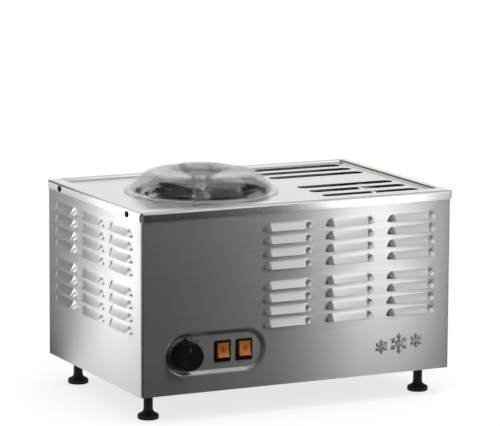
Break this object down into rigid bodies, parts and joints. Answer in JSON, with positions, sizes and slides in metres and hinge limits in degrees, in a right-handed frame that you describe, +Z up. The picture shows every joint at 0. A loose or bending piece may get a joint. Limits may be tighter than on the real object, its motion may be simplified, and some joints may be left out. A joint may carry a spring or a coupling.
{
  "type": "ice cream maker",
  "caption": "Counter-top ice cream maker: louvred brushed steel case on feet, clear domed lid over a steel bowl with a driven dasher, timer knob and orange rocker switches.",
  "frame": {"origin": "on the supporting surface, under the centre of the whole machine's bounding box", "axes": "+Z up, -Y is the front with the control panel, +X to the right seen from the front"},
  "size_m": [0.4576, 0.32, 0.304],
  "materials": {
    "steel": "brushed stainless sheet",
    "polished": "polished stainless",
    "zinc": "zinc plated",
    "clear": "clear moulded plastic",
    "black": "satin",
    "rubber": "matt",
    "orange": "translucent gloss",
    "copper": "drawn copper",
    "foam": "cast foam",
    "paint": "black paint",
    "alu": "mill finish",
    "white": "satin moulded",
    "bronze": "sintered bronze",
    "wire": "sleeving"
  },
  "bodies": {
    "case": {"base_pan": "zinc", "bowl": "polished", "bowl_base": "polished", "bowl_gasket": "rubber", "bowl_insulation": "foam", "capillary_tube": "copper", "compressor": "paint", "compressor_grommet_1": "rubber", "compressor_grommet_2": "rubber", "compressor_grommet_3": "rubber", "compressor_grommet_4": "rubber", "condenser": "alu", "cover_screw_left_back": "zinc", "cover_screw_left_front": "zinc", "cover_screw_right_back": "zinc", "cover_screw_right_front": "zinc", "discharge_pipe": "copper", "drive_motor": "paint", "evaporator_coil": "copper", "fan_motor": "paint", "fan_shroud": "paint", "filter_drier": "copper", "foot_left_back": "rubber", "foot_left_front": "rubber", "foot_nut_left_back": "zinc", "foot_nut_left_front": "zinc", "foot_nut_right_back": "zinc", "foot_nut_right_front": "zinc", "foot_right_back": "rubber", "foot_right_front": "rubber", "gearbox": "alu", "liquid_pipe": "copper", "mains_inlet": "black", "motor_bracket": "zinc", "rear_panel": "steel", "rear_screw_left_lower": "zinc", "rear_screw_left_upper": "zinc", "rear_screw_right_lower": "zinc", "rear_screw_right_upper": "zinc", "run_capacitor": "alu", "shaft_bushing_lower": "bronze", "shaft_bushing_upper": "bronze", "suction_pipe": "copper", "switch_housing_left": "black", "switch_housing_right": "black", "terminal_block": "white", "timer_body": "white", "top_cover": "polished", "wire_loom": "wire", "wrap_panel": "steel"},
    "lid": {"lid": "clear"},
    "lid_cup": {"lid_cup": "clear"},
    "drive": {"drive_shaft": "polished", "dasher": "polished", "dasher_nut": "polished"},
    "timer": {"timer_knob": "black", "timer_shaft": "zinc"},
    "rocker_left": {"rocker_left": "orange"},
    "rocker_right": {"rocker_right": "orange"},
    "fan": {"fan_rotor": "white"}
  },
  "joints": [
    {"name": "lid_lift", "type": "slide", "parent": "case", "child": "lid", "axis": [0, 0, 1], "range_m": [0, 0.15]},
    {"name": "cup_lift", "type": "slide", "parent": "lid", "child": "lid_cup", "axis": [0, 0, 1], "range_m": [0, 0.08]},
    {"name": "dasher_spin", "type": "hinge", "parent": "case", "child": "drive", "pos_m": [-0.069, 0.0075, 0.2], "axis": [0, 0, 1], "continuous": true},
    {"name": "timer_turn", "type": "hinge", "parent": "case", "child": "timer", "pos_m": [-0.1614, -0.1325, 0.087], "axis": [0, 1, 0], "range_deg": [0, 300]},
    {"name": "rocker_left_tilt", "type": "hinge", "parent": "case", "child": "rocker_left", "pos_m": [-0.1083, -0.1345, 0.0872], "axis": [1, 0, 0], "range_deg": [0, 16]},
    {"name": "rocker_right_tilt", "type": "hinge", "parent": "case", "child": "rocker_right", "pos_m": [-0.0776, -0.1345, 0.0872], "axis": [1, 0, 0], "range_deg": [0, 16]},
    {"name": "fan_spin", "type": "hinge", "parent": "case", "child": "fan", "pos_m": [0.134, 0.1045, 0.112], "axis": [0, 1, 0], "continuous": true}
  ]
}
